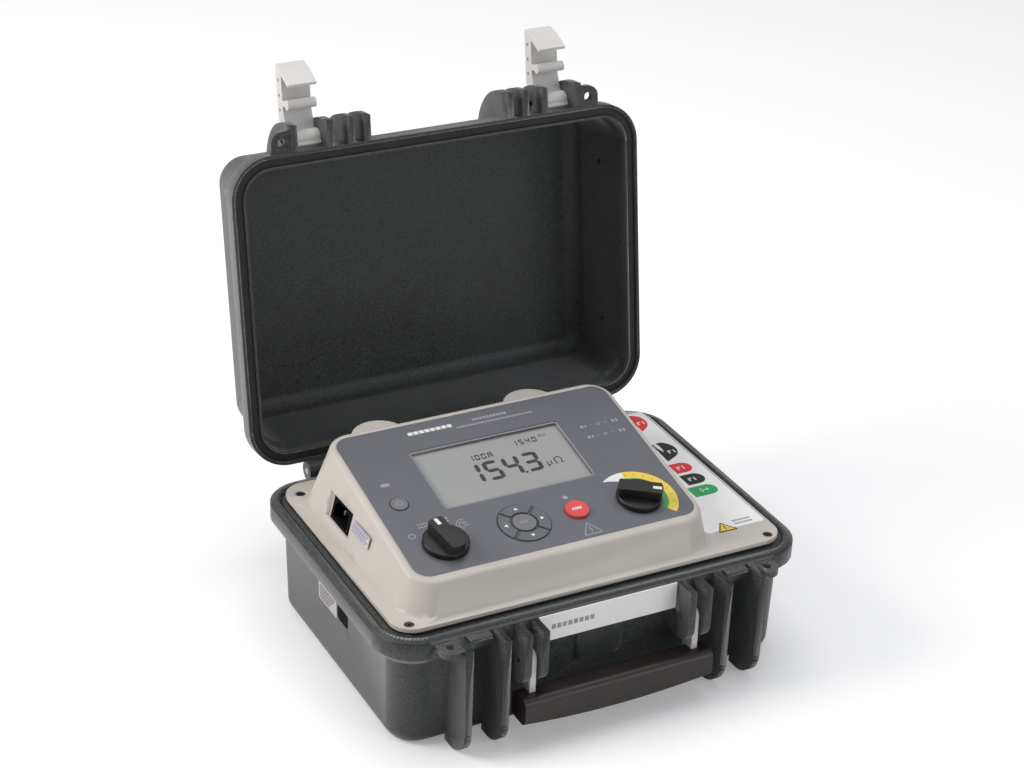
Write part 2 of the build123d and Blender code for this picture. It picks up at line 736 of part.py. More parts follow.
def make_display_board():
    top = -board_drop
    sheet = board_outline()
    for at in (left_knob_at, right_knob_at):
        sheet -= disc(at, spindle_r + 1)
    return face_prism(sheet, top - board_thick, top)


def key_centres():
    mid = (pad_r + ok_r + pad_gap) / 2
    turns = [k * pi / 2 for k in range(4)]
    places = [(pad_centre[0] + mid * cos(turn), pad_centre[1] + mid * sin(turn)) for turn in turns]
    return places + [pad_centre, power_at, test_at]


def make_key_domes():
    parts = [face_prism(disc(at, dome_r), -board_drop, -board_drop + dome_height) for at in key_centres()]
    return Compound(children=parts)


def make_terminal_collar(y, up, r, bore_r):
    z = rim_z + up
    collar = rod(terminal_face - terminal_depth, terminal_face, y, z, r)
    return collar - rod(terminal_face - terminal_depth - 1, terminal_face + 1, y, z, bore_r + 1.5)


def make_terminal_insert(y, up, bore_r):
    z = rim_z + up
    back = terminal_face - terminal_depth
    insert = rod(back - 6, terminal_face - 3, y, z, bore_r + 1.5)
    return insert - rod(back + 4, terminal_face, y, z, bore_r)


def make_inlet_body():
    here = left_wall_plane()
    back = -inlet_recess - inlet_depth
    body = extrude(here.offset(back) * Rectangle(inlet_body[0] - 0.1, inlet_body[1] - 0.1), inlet_depth + 1)
    body -= extrude(here.offset(back + 3) * inlet_mouth(), inlet_depth)
    for k in (-1, 0, 1):
        body -= extrude(here.offset(back - 1) * pin_outline(k), 8)
    return body


def inlet_mouth():
    w, h = inlet_cavity
    c = 5.0
    return make_face(Polyline((-w / 2, -h / 2), (w / 2, -h / 2), (w / 2, h / 2 - c), (w / 2 - c, h / 2),
                              (-w / 2 + c, h / 2), (-w / 2, h / 2 - c), close=True))


def pin_outline(k):
    return Pos(inlet_pitch * k, inlet_stagger * (1 - 2 * abs(k))) * Rectangle(inlet_pin[0], inlet_pin[1])


def make_inlet_pins():
    here = left_wall_plane()
    base = here.offset(-inlet_recess - inlet_depth - 5)
    return Compound(children=[extrude(base * pin_outline(k), 8 + inlet_pin[2]) for k in (-1, 0, 1)])


# ---- inside the base ----
def block(size, at, z0):
    """Rectangular block of a size, centred on a point, from a height up."""
    return Pos(at[0], at[1], z0 + size[2] / 2) * Box(*size)


def make_tray():
    hx, hy = wall_x - wall - tray_inset, wall_y - wall - tray_inset
    tray = slab(hx, hy, 6, tray_z, tray_top)
    for side in sides:
        tray += box(side * hx, side * (hx - tray_thick), -hy + 8, hy - 8, tray_z, tray_z + tray_lip)
        tray += post(side * (hx - tray_foot_in), 0, floor_thickness, tray_z + 0.1, tray_foot_r)
    return tray


def make_battery():
    width, depth, height = battery_size
    return slab(width / 2, depth / 2, 5, tray_top, tray_top + height, *battery_at)


def make_transformer():
    """Laminated core with two windows, and the coil round its middle leg."""
    core = block(core_size, core_at, tray_top)
    window_low = tray_top + core_window_up
    window_width, window_height = core_window
    window_out = (core_leg + window_width) / 2
    for side in sides:
        hole = (window_width, core_size[1] + 2, window_height)
        core -= block(hole, (core_at[0] + side * window_out, core_at[1]), window_low)
    coil_width = core_leg + 2 * (window_width - coil_clear)
    coil_depth = core_size[1] + 2 * coil_overhang
    coil_height = window_height - 2 * coil_clear
    coil = block((coil_width, coil_depth, coil_height), core_at, window_low + coil_clear)
    coil -= block((core_leg + 2 * coil_fit, core_size[1] + 2 * coil_fit, core_size[2] + 2), core_at, tray_top)
    return core, coil


def make_heat_sink():
    width, depth, height = sink_size
    sink = block((width, depth, sink_base), sink_at, tray_top)
    pitch = (depth - 2 * fin_thick) / (fin_count - 1)
    for k in range(fin_count):
        y = sink_at[1] - depth / 2 + fin_thick + pitch * k
        sink += block((width, fin_thick, height - sink_base + 1), (sink_at[0], y), tray_top + sink_base - 1)
    return sink


def make_main_board():
    width, depth = main_board_size
    return slab(width / 2, depth / 2, 3, main_board_up, main_board_up + board_thick, *main_board_at)


def make_standoffs():
    dx, dy = main_board_size[0] / 2 - standoff_in, main_board_size[1] / 2 - standoff_in
    places = [(main_board_at[0] + sx * dx, main_board_at[1] + sy * dy) for sx in sides for sy in sides]
    return Compound(children=[post(x, y, tray_top, main_board_up, standoff_r) for x, y in places])


def label(plane, size, at, r=1.0, thick=trim_thick):
    return extrude(plane * Pos(*at) * RectangleRounded(size[0], size[1], r), thick)


def make_terminal_label():
    """Printed overlay on the deck beside the console, cut round the console's foot."""
    right = half_w - deck_in - 3
    outline = face_rect(foot_right + 2.5, right, foot_front + overlay_in, half_d - overlay_in, 3)
    foot_mid = ((foot_left + foot_right) / 2, (foot_front + foot_back) / 2)
    foot_half = ((foot_right - foot_left) / 2 + 1, (foot_back - foot_front) / 2 + 1)
    sheet = extrude(Pos(0, 0, deck_z) * outline, overlay_thick)
    sheet -= slab(*foot_half, foot_corner, deck_z - 1, deck_z + 2, *foot_mid)
    for sx, sy in screw_places():
        sheet -= post(sx, sy, deck_z - 1, deck_z + 1, screw_head_r + 1)
    return sheet


def make_side_label():
    lean = radians(wall_draft)
    x = -wall_x + (step_z - side_label_at[1]) * sin(lean) / cos(lean)
    spot = (x, side_label_at[0], side_label_at[1])
    plane = Plane(origin=spot, x_dir=(0, -1, 0), z_dir=(-cos(lean), 0, -sin(lean)))
    return label(plane.offset(0.02), side_label_size, (0, 0))


def make_vent_plug():
    vent = Pos(-vent_at[0], vent_at[1]) * RectangleRounded(vent_size[0] - 0.2, vent_size[1] - 0.2, 5)
    plane = Plane(origin=(-wall_x + vent_depth, 0, 0), x_dir=(0, -1, 0), z_dir=(-1, 0, 0))
    return extrude(plane * vent, vent_depth - 0.4)


def make_inlet_label():
    here = left_wall_plane()
    u = inlet_frame[0] / 2 + inlet_label_gap + inlet_label_size[0] / 2
    return label(here, inlet_label_size, (u, 4), 0.5, 0.2)


def pin_pair(places, y, z, r):
    """One pin along X for each pair of ends."""
    return Compound(children=[rod(x0, x1, y, z, r) for x0, x1 in places])


def mirrored_spans(low, high):
    return [(side * low, side * high) for side in sides]


def make_screws():
    screws = []
    head_low = deck_z - screw_sink
    head_top = head_low + screw_head_height
    for sx, sy in screw_places():
        head = post(sx, sy, head_low, head_top, screw_head_r)
        head -= post(sx, sy, head_top - 1, deck_z, screw_key_r)
        screws.append(head + post(sx, sy, rim_z - screw_length, head_low + 0.1, screw_shank_r))
    return Compound(children=screws)


def make_gasket():
    gasket_in = deck_in + gasket_gap
    gasket = ring(gasket_in, gasket_in + gasket_width, rim_z, deck_low)
    for sx, sy in screw_places():
        gasket -= post(sx, sy, rim_z - 1, deck_z, screw_shank_r + 2)
    return gasket


nodes = {}


def keep(name, shape):
    nodes[name] = shape


keep("base_shell", make_base_shell())
keep("lid_shell", opened(make_lid_shell()))
keep("lid_seal", opened(make_lid_seal()))
keep("lid_studs", opened(Compound(children=[stud(side, y) for side in sides for y in stud_y])))
hinge_spans = [(station - hinge_length / 2, station + hinge_length / 2) for station in hinge_stations]
keep("hinge_pins", pin_pair(hinge_spans, hinge_y, hinge_z, hinge_pin_r))
latch_spans = mirrored_spans(rib_inner["b"] + 0.5, rib_inner["a"] + rib_thick - 0.5)
keep("latch_pins", opened(pin_pair(latch_spans, latch_y, latch_z, latch_pin_r)))
keep("latch_left", opened(make_latch(-1)))
keep("latch_right", opened(make_latch(1)))
handle_spans = mirrored_spans(rib_inner["d"] + 0.5, rib_inner["c"] + rib_thick - 0.5)
keep("handle_pins", pin_pair(handle_spans, handle_y, handle_z, handle_pin_r))
handle_frame = make_handle_frame()
keep("handle_frame", handle_frame)
keep("handle_grip", make_handle_grip(handle_frame))
keep("front_nameplate", box(-name_half, name_half, front - name_thick, front, rim_z - name_drop, rim_z - 0.6))
keep("side_label", make_side_label())
keep("vent_plug", make_vent_plug())

keep("panel_moulding", make_panel())
keep("panel_gasket", make_gasket())
keep("deck_screws", make_screws())
keep("fascia", make_fascia())
keep("terminal_label", make_terminal_label())
keep("inlet_label", make_inlet_label())

window_low = -fascia_recess - lcd_sink
keep("lcd_window", face_prism(window_opening(1.5 + 0.35), window_low - lcd_thick, window_low + lcd_sink))
module = Pos(*lcd_centre) * RectangleRounded(lcd_size[0] + 4, lcd_size[1] + 4, 2)
keep("lcd_module", face_prism(module, -board_drop + 0.02, -panel_wall - 0.3))
keep("display_board", make_display_board())
keep("key_domes", make_key_domes())
for name, (sketch, rise) in key_sketches().items():
    keep(name, make_key(sketch, rise))
keep("status_lens", face_prism(disc(status_at, status_r), -panel_wall - 0.5, 0.2))
keep("sensor_lens", face_prism(sensor_outline(0), -panel_wall - 0.5, 0.1))
keep("left_knob", make_knob(left_knob_at, left_knob_angle))
keep("right_knob", make_knob(right_knob_at, right_knob_angle))
keep("left_spindle", make_spindle(left_knob_at))
keep("right_spindle", make_spindle(right_knob_at))
keep("left_switch", make_switch(left_knob_at))
keep("right_switch", make_switch(right_knob_at))

big_set = (big_terminals, big_collar_r, big_bore_r)
small_set = (small_terminals, small_collar_r, small_bore_r)
for places, r, bore in (big_set, small_set):
    for name, (y, up) in places.items():
        keep(name + "_collar", make_terminal_collar(y, up, r, bore))
        keep(name + "_insert", make_terminal_insert(y, up, bore))
keep("inlet_body", make_inlet_body())
keep("inlet_pins", make_inlet_pins())

keep("chassis_tray", make_tray())
keep("battery_pack", make_battery())
core, coil = make_transformer()
keep("transformer_core", core)
keep("transformer_coil", coil)
keep("heat_sink", make_heat_sink())
keep("main_board", make_main_board())
keep("board_standoffs", make_standoffs())

for name, shape in nodes.items():
    export_step(shape, "parts/" + name + ".step")
print(len(nodes), "nodes")
print("hinge", hinge_y, hinge_z)
print("latch", latch_x, latch_y, latch_z)
print("handle", handle_y, handle_z)
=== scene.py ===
import bmesh
import bpy
import json
from math import atan2, cos, radians, sin

from mathutils import Matrix, Vector

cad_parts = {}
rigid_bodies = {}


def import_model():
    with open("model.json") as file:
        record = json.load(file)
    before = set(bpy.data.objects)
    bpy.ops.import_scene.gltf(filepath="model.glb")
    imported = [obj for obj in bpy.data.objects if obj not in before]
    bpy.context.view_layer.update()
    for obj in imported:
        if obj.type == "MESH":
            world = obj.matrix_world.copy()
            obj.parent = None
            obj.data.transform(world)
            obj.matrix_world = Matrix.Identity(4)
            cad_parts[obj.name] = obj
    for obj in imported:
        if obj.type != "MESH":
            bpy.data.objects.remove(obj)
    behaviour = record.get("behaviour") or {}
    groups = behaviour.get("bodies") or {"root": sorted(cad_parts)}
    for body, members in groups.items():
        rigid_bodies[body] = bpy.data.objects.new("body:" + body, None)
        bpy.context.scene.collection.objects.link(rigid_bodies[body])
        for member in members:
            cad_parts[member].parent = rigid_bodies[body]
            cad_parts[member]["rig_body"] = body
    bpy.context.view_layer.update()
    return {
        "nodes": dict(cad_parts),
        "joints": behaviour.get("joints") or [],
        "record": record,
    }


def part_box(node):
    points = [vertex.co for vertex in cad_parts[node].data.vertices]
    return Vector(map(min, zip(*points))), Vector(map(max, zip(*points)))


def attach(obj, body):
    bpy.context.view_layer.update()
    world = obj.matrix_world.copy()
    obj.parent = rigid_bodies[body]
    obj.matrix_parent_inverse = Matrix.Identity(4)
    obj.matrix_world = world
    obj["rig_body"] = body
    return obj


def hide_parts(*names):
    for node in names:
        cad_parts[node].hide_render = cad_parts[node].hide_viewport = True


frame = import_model()
nodes = frame["nodes"]
joints = {j["name"]: j for j in frame["joints"]}
mm = 0.001
print("frame loaded:", len(nodes), "nodes")


def middle(node):
    low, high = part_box(node)
    return (low + high) / 2


# the sloping face, worked out from the two selector joints and the fascia
faceNormal = Vector(joints["left_selector_turn"]["axis"]).normalized()
faceUp = Vector((0, faceNormal.z, -faceNormal.y))
leftKnob = Vector(joints["left_selector_turn"]["pos_m"])
rightKnob = Vector(joints["right_selector_turn"]["pos_m"])
faceOrigin = Vector((0, 0, faceNormal.dot(leftKnob) / faceNormal.z))
faceTurn = Matrix((Vector((1, 0, 0)), faceUp, faceNormal)).transposed().to_4x4()
facePlace = Matrix.Translation(faceOrigin) @ faceTurn
fromFace = facePlace.inverted()


def onFace(point):
    spot = fromFace @ Vector(point)
    return spot.x / mm, spot.y / mm


def topOf(node):
    # highest point of a node over the sloping face
    return max((fromFace @ corner.co).z for corner in nodes[node].data.vertices) / mm


# colour and texture groups
def newGroup(name, inputs, outputs):
    group = bpy.data.node_groups.new(name, "ShaderNodeTree")
    for label, kind, value in inputs:
        socket = group.interface.new_socket(label, in_out="INPUT", socket_type=kind)
        socket.default_value = value
    for label, kind in outputs:
        group.interface.new_socket(label, in_out="OUTPUT", socket_type=kind)
    start = group.nodes.new("NodeGroupInput")
    end = group.nodes.new("NodeGroupOutput")
    return group, start, end


def add(tree, kind, **values):
    node = tree.nodes.new(kind)
    for key, value in values.items():
        setattr(node, key, value)
    return node


def mathNode(tree, operation, first, second):
    node = add(tree, "ShaderNodeMath", operation=operation)
    for k, value in enumerate((first, second)):
        if isinstance(value, (int, float)):
            node.inputs[k].default_value = value
        else:
            tree.links.new(value, node.inputs[k])
    return node.outputs[0]


def noiseNode(tree, vector, scale, detail=4.0, roughness=0.55):
    noise = add(tree, "ShaderNodeTexNoise")
    noise.inputs["Detail"].default_value = detail
    noise.inputs["Roughness"].default_value = roughness
    tree.links.new(vector, noise.inputs["Vector"])
    if isinstance(scale, (int, float)):
        noise.inputs["Scale"].default_value = scale
    else:
        tree.links.new(scale, noise.inputs["Scale"])
    return noise.outputs["Fac"]


def spread(tree, value, low, high, outLow=0.0, outHigh=1.0):
    ramp = add(tree, "ShaderNodeMapRange")
    tree.links.new(value, ramp.inputs["Value"])
    for label, number in (("From Min", low), ("From Max", high), ("To Min", outLow), ("To Max", outHigh)):
        ramp.inputs[label].default_value = number
    return ramp.outputs["Result"]


def mottleGroup():
    group, start, end = newGroup(
        "mottle",
        [("First", "NodeSocketColor", (0.1, 0.1, 0.1, 1)),
         ("Second", "NodeSocketColor", (0.2, 0.2, 0.2, 1)),
         ("Scale", "NodeSocketFloat", 40.0), ("Fine", "NodeSocketFloat", 900.0),
         ("Speckle", "NodeSocketFloat", 0.35)],
        [("Color", "NodeSocketColor"), ("Mask", "NodeSocketFloat")])
    spot = add(group, "ShaderNodeTexCoord").outputs["Object"]
    broad = noiseNode(group, spot, start.outputs["Scale"], 5.0, 0.6)
    fine = noiseNode(group, spot, start.outputs["Fine"], 2.0, 0.5)
    share = mathNode(group, "SUBTRACT", 1.0, start.outputs["Speckle"])
    both = mathNode(group, "ADD", mathNode(group, "MULTIPLY", broad, share),
                    mathNode(group, "MULTIPLY", fine, start.outputs["Speckle"]))
    mask = spread(group, both, 0.36, 0.64)
    mix = add(group, "ShaderNodeMix", data_type="RGBA")
    group.links.new(mask, mix.inputs["Factor"])
    group.links.new(start.outputs["First"], mix.inputs["A"])
    group.links.new(start.outputs["Second"], mix.inputs["B"])
    group.links.new(mix.outputs["Result"], end.inputs["Color"])
    group.links.new(mask, end.inputs["Mask"])
    return group


def grainGroup():
    group, start, end = newGroup(
        "mouldedGrain",
        [("Scale", "NodeSocketFloat", 800.0), ("Pits", "NodeSocketFloat", 0.5)],
        [("Height", "NodeSocketFloat")])
    spot = add(group, "ShaderNodeTexCoord").outputs["Object"]
    cells = add(group, "ShaderNodeTexVoronoi", feature="SMOOTH_F1")
    group.links.new(spot, cells.inputs["Vector"])
    group.links.new(start.outputs["Scale"], cells.inputs["Scale"])
    noise = noiseNode(group, spot, start.outputs["Scale"], 3.0, 0.6)
    pits = mathNode(group, "MULTIPLY", cells.outputs["Distance"], start.outputs["Pits"])
    group.links.new(mathNode(group, "ADD", pits, noise), end.inputs["Height"])
    return group


def wearGroup():
    group, start, end = newGroup(
        "edgeWear",
        [("Reach", "NodeSocketFloat", 0.0012), ("Amount", "NodeSocketFloat", 0.6)],
        [("Mask", "NodeSocketFloat")])
    inner = add(group, "ShaderNodeAmbientOcclusion", inside=True, only_local=True, samples=6)
    group.links.new(start.outputs["Reach"], inner.inputs["Distance"])
    spot = add(group, "ShaderNodeTexCoord").outputs["Object"]
    patches = spread(group, noiseNode(group, spot, 55.0, 6.0, 0.7), 0.38, 0.62)
    edge = spread(group, inner.outputs["AO"], 0.35, 0.95, 1.0, 0.0)
    mask = mathNode(group, "MULTIPLY", edge, mathNode(group, "ADD", patches, 0.35))
    group.links.new(mathNode(group, "MULTIPLY", mask, start.outputs["Amount"]), end.inputs["Mask"])
    return group


groups = {"mottle": mottleGroup(), "grain": grainGroup(), "wear": wearGroup()}


def placed(tree, name, **values):
    node = add(tree, "ShaderNodeGroup", node_tree=groups[name])
    for key, value in values.items():
        node.inputs[key].default_value = value
    return node


def rgba(color):
    return (color[0], color[1], color[2], 1.0)


surface = {"wearReach": 0.0014, "bumpStrength": 0.8, "sheenRough": 0.45, "edgeSamples": 4}


# scale, fine and grain are texture scales, depth is the bump height in metres, softEdge is in mm
def plastic(name, first, second, rough, scale, grain, depth, pits=0.6, wear=0.0, worn=(0.3, 0.3, 0.3),
            metallic=0.0, sheen=0.0, alpha=1.0, fine=900.0, speckle=0.35, softEdge=0.0, shine=0.5):
    material = bpy.data.materials.new(name)
    material.use_nodes = True
    tree = material.node_tree
    shader = tree.nodes["Principled BSDF"]
    mottle = placed(tree, "mottle", First=rgba(first), Second=rgba(second), Scale=scale, Fine=fine,
                    Speckle=speckle)
    color = mottle.outputs["Color"]
    if wear:
        mask = placed(tree, "wear", Reach=surface["wearReach"], Amount=wear)
        mix = add(tree, "ShaderNodeMix", data_type="RGBA")
        tree.links.new(mask.outputs["Mask"], mix.inputs["Factor"])
        tree.links.new(color, mix.inputs["A"])
        mix.inputs["B"].default_value = rgba(worn)
        color = mix.outputs["Result"]
    tree.links.new(color, shader.inputs["Base Color"])
    roughness = spread(tree, mottle.outputs["Mask"], 0, 1, rough[0], rough[1])
    tree.links.new(roughness, shader.inputs["Roughness"])
    heights = placed(tree, "grain", Scale=grain, Pits=pits)
    bump = add(tree, "ShaderNodeBump")
    bump.inputs["Distance"].default_value = depth
    bump.inputs["Strength"].default_value = surface["bumpStrength"]
    tree.links.new(heights.outputs["Height"], bump.inputs["Height"])
    if softEdge:
        rounded = add(tree, "ShaderNodeBevel", samples=surface["edgeSamples"])
        rounded.inputs["Radius"].default_value = softEdge * mm
        tree.links.new(rounded.outputs["Normal"], bump.inputs["Normal"])
    tree.links.new(bump.outputs["Normal"], shader.inputs["Normal"])
    shader.inputs["Metallic"].default_value = metallic
    shader.inputs["Sheen Weight"].default_value = sheen
    shader.inputs["Specular IOR Level"].default_value = shine
    shader.inputs["Sheen Roughness"].default_value = surface["sheenRough"]
    shader.inputs["Alpha"].default_value = alpha
    return material


finishLooks = {
    "case": dict(first=(0.008, 0.0095, 0.010), second=(0.044, 0.049, 0.050), rough=(0.38, 0.56),
                 scale=30, grain=620, depth=0.0004, pits=0.7, wear=0.35, worn=(0.11, 0.115, 0.115),
                 sheen=0.5, fine=460.0, speckle=0.75),
    "seal": dict(first=(0.009, 0.009, 0.009), second=(0.016, 0.016, 0.016), rough=(0.5, 0.7), scale=60,
                 grain=1500, depth=0.00005),
    "panel": dict(first=(0.50, 0.465, 0.425), second=(0.54, 0.505, 0.465), rough=(0.36, 0.46), scale=14,
                  grain=1300, depth=0.00004, softEdge=0.8),
    "fascia": dict(first=(0.112, 0.118, 0.134), second=(0.122, 0.128, 0.146), rough=(0.36, 0.46),
                   scale=25, grain=1700, depth=0.00003),
    "latch_grey": dict(first=(0.60, 0.585, 0.56), second=(0.66, 0.645, 0.62), rough=(0.36, 0.48),
                       scale=40, grain=1200, depth=0.00005),
    "grip": dict(first=(0.018, 0.013, 0.011), second=(0.030, 0.022, 0.019), rough=(0.34, 0.46),
                 scale=40, grain=1300, depth=0.00008),
    "label_white": dict(first=(0.84, 0.83, 0.825), second=(0.88, 0.87, 0.865), rough=(0.3, 0.4),
                        scale=40, grain=900, depth=0.00001),
    "label_grey": dict(first=(0.42, 0.41, 0.43), second=(0.47, 0.455, 0.48), rough=(0.35, 0.45),
                       scale=40, grain=900, depth=0.00001),
    "label_lilac": dict(first=(0.50, 0.47, 0.50), second=(0.55, 0.52, 0.55), rough=(0.35, 0.45),
                        scale=40, grain=900, depth=0.00001),
    "plug_dark": dict(first=(0.003, 0.003, 0.003), second=(0.006, 0.006, 0.006), rough=(0.75, 0.9),
                      scale=60, grain=1400, depth=0.00004, shine=0.1),
    "key_dark": dict(first=(0.105, 0.11, 0.125), second=(0.12, 0.125, 0.14), rough=(0.36, 0.46),
                     scale=40, grain=1700, depth=0.00003),
    "key_grey": dict(first=(0.15, 0.155, 0.17), second=(0.165, 0.17, 0.19), rough=(0.36, 0.46),
                     scale=40, grain=1700, depth=0.00003),
    "key_red": dict(first=(0.66, 0.05, 0.055), second=(0.72, 0.07, 0.075), rough=(0.40, 0.50), scale=40,
                    grain=1500, depth=0.00003),
    "knob": dict(first=(0.004, 0.0035, 0.0032), second=(0.010, 0.0085, 0.0075), rough=(0.34, 0.46),
                 scale=60, grain=1300, depth=0.00006),
    "board": dict(first=(0.02, 0.12, 0.05), second=(0.03, 0.17, 0.07), rough=(0.3, 0.4), scale=120,
                  grain=900, depth=0.00003),
    "dome": dict(first=(0.28, 0.28, 0.28), second=(0.32, 0.32, 0.32), rough=(0.5, 0.6), scale=60,
                 grain=900, depth=0.00002),
    "switch": dict(first=(0.03, 0.05, 0.10), second=(0.04, 0.07, 0.14), rough=(0.3, 0.45), scale=60,
                   grain=900, depth=0.00002),
    "battery": dict(first=(0.05, 0.12, 0.26), second=(0.07, 0.16, 0.32), rough=(0.25, 0.35), scale=30,
                    grain=500, depth=0.00004),
    "core": dict(first=(0.10, 0.10, 0.105), second=(0.16, 0.155, 0.15), rough=(0.45, 0.65), scale=60,
                 grain=1500, depth=0.00004, metallic=0.8),
    "copper": dict(first=(0.50, 0.20, 0.08), second=(0.62, 0.27, 0.12), rough=(0.25, 0.4), scale=90,
                   grain=1100, depth=0.0001, metallic=1.0),
    "steel": dict(first=(0.48, 0.48, 0.49), second=(0.60, 0.60, 0.61), rough=(0.25, 0.42), scale=90,
                  grain=1600, depth=0.00003, metallic=1.0),
    "steel_black": dict(first=(0.010, 0.010, 0.011), second=(0.02, 0.02, 0.021), rough=(0.25, 0.4),
                        scale=90, grain=1600, depth=0.00003),
    "brass": dict(first=(0.62, 0.44, 0.18), second=(0.72, 0.53, 0.24), rough=(0.2, 0.35), scale=120,
                  grain=1600, depth=0.00003, metallic=1.0),
    "aluminium": dict(first=(0.62, 0.62, 0.63), second=(0.72, 0.72, 0.73), rough=(0.3, 0.45), scale=60,
                      grain=1300, depth=0.00003, metallic=1.0),
    "socket_red": dict(first=(0.45, 0.02, 0.02), second=(0.55, 0.035, 0.03), rough=(0.25, 0.35),
                       scale=60, grain=1300, depth=0.00003),
    "socket_black": dict(first=(0.008, 0.008, 0.008), second=(0.016, 0.016, 0.016), rough=(0.25, 0.35),
                         scale=60, grain=1300, depth=0.00003),
    "socket_green": dict(first=(0.02, 0.22, 0.07), second=(0.03, 0.28, 0.09), rough=(0.25, 0.35),
                         scale=60, grain=1300, depth=0.00003),
    "lcd": dict(first=(0.335, 0.345, 0.335), second=(0.36, 0.37, 0.36), rough=(0.4, 0.5), scale=9,
                grain=2000, depth=0.00001),
    "lens": dict(first=(0.32, 0.31, 0.34), second=(0.36, 0.35, 0.38), rough=(0.2, 0.3), scale=60,
                 grain=900, depth=0.00001),
    "window": dict(first=(0.30, 0.31, 0.31), second=(0.32, 0.33, 0.33), rough=(0.05, 0.08), scale=10,
                   grain=400, depth=0.000002, alpha=0.04),
}
inkLooks = {
    "white": dict(first=(0.74, 0.74, 0.74), second=(0.80, 0.80, 0.80), rough=(0.4, 0.5), scale=90,
                  grain=1500, depth=0.00001),
    "black": dict(first=(0.008, 0.008, 0.009), second=(0.014, 0.014, 0.015), rough=(0.35, 0.45),
                  scale=90, grain=1500, depth=0.00001),
    "grey": dict(first=(0.28, 0.28, 0.30), second=(0.34, 0.34, 0.36), rough=(0.4, 0.5), scale=90,
                 grain=1500, depth=0.00001),
    "lavender": dict(first=(0.22, 0.22, 0.25), second=(0.25, 0.25, 0.28), rough=(0.4, 0.5), scale=90,
                     grain=1500, depth=0.00001),
    "violet": dict(first=(0.05, 0.035, 0.05), second=(0.08, 0.06, 0.08), rough=(0.4, 0.5), scale=90,
                   grain=1500, depth=0.00001),
    "blue": dict(first=(0.17, 0.16, 0.30), second=(0.24, 0.23, 0.38), rough=(0.4, 0.5), scale=90,
                 grain=1500, depth=0.00001),
    "yellow": dict(first=(0.80, 0.56, 0.05), second=(0.86, 0.62, 0.07), rough=(0.4, 0.5), scale=60,
                   grain=1500, depth=0.00001),
    "green": dict(first=(0.02, 0.33, 0.10), second=(0.03, 0.38, 0.12), rough=(0.4, 0.5), scale=60,
                  grain=1500, depth=0.00001),
    "red": dict(first=(0.68, 0.03, 0.035), second=(0.74, 0.05, 0.05), rough=(0.4, 0.5), scale=60,
                grain=1500, depth=0.00001),
}
finish = {name: plastic(name, **look) for name, look in finishLooks.items()}
ink = {name: plastic("ink" + name.capitalize(), **look) for name, look in inkLooks.items()}
lcdInk = plastic("lcdDigits", first=(0.012, 0.013, 0.014), second=(0.02, 0.02, 0.022), rough=(0.3, 0.4),
                 scale=90, grain=1500, depth=0.00001)
print("materials ready:", len(finish) + len(ink) + 1)


# CAD nodes: materials, and soft-edged skins on those that show
slotOf = {s["node"]: s["material_slot"] for s in frame["record"]["subparts"]}


def coat(piece, material):
    piece.data.materials.clear()
    piece.data.materials.append(material)


def linkPiece(name, mesh):
    piece = bpy.data.objects.new(name, mesh)
    bpy.context.scene.collection.objects.link(piece)
    return piece


def cleanMesh(source):
    mesh = source.data.copy()
    work = bmesh.new()
    work.from_mesh(mesh)
    bmesh.ops.remove_doubles(work, verts=work.verts, dist=skin["weld"])
    work.to_mesh(mesh)
    work.free()
    return mesh


skin = {
    "weld": 2e-6,
    "edge": radians(34),
    # width of each node's rounded edges in mm; 0 leaves the edges as they are
    "widths": {
        "base_shell": 0, "lid_shell": 0, "panel_moulding": 0, "latch_left": 0.5, "latch_right": 0.5,
        "handle_frame": 0.8, "handle_grip": 1.2, "left_knob": 0.8, "right_knob": 0.8, "key_test": 0.5,
        "key_power": 0.4, "key_ok": 0.4, "key_up": 0.4, "key_down": 0.4, "key_left": 0.4, "key_right": 0.4,
        "lid_seal": 0.5, "lid_studs": 0.5, "inlet_body": 0.4, "front_nameplate": 0.3, "vent_plug": 0.4,
        "deck_screws": 0.2, "hinge_pins": 0.4, "c1_collar": 0.6, "c2_collar": 0.6, "p1_collar": 0.5,
        "p2_collar": 0.5, "g_collar": 0.5, "c1_insert": 0.3, "c2_insert": 0.3, "p1_insert": 0.2,
        "p2_insert": 0.2, "g_insert": 0.2, "inlet_pins": 0.3,
    },
}


# pieces whose finish differs from their slot's
changed = {"latch_pins": "plug_dark", "side_label": "label_grey", "inlet_label": "label_lilac"}


def finishOf(name):
    return finish[changed.get(name, slotOf[name])]


def softSkin(name, width):
    piece = linkPiece(name + "_skin", cleanMesh(nodes[name]))
    piece.data.shade_smooth()
    piece.data.set_sharp_from_angle(angle=skin["edge"])
    if width:
        bevel = piece.modifiers.new("softEdges", "BEVEL")
        bevel.width = width * mm
        bevel.segments = 2
        bevel.limit_method = "ANGLE"
        bevel.angle_limit = skin["edge"]
    flat = piece.modifiers.new("flatFaces", "WEIGHTED_NORMAL")
    flat.keep_sharp = True
    coat(piece, finishOf(name))
    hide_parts(name)
    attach(piece, nodes[name]["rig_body"])
    return piece


for name, node in nodes.items():
    coat(node, finishOf(name))
for name, width in skin["widths"].items():
    softSkin(name, width)
print("skins made:", len(skin["widths"]))


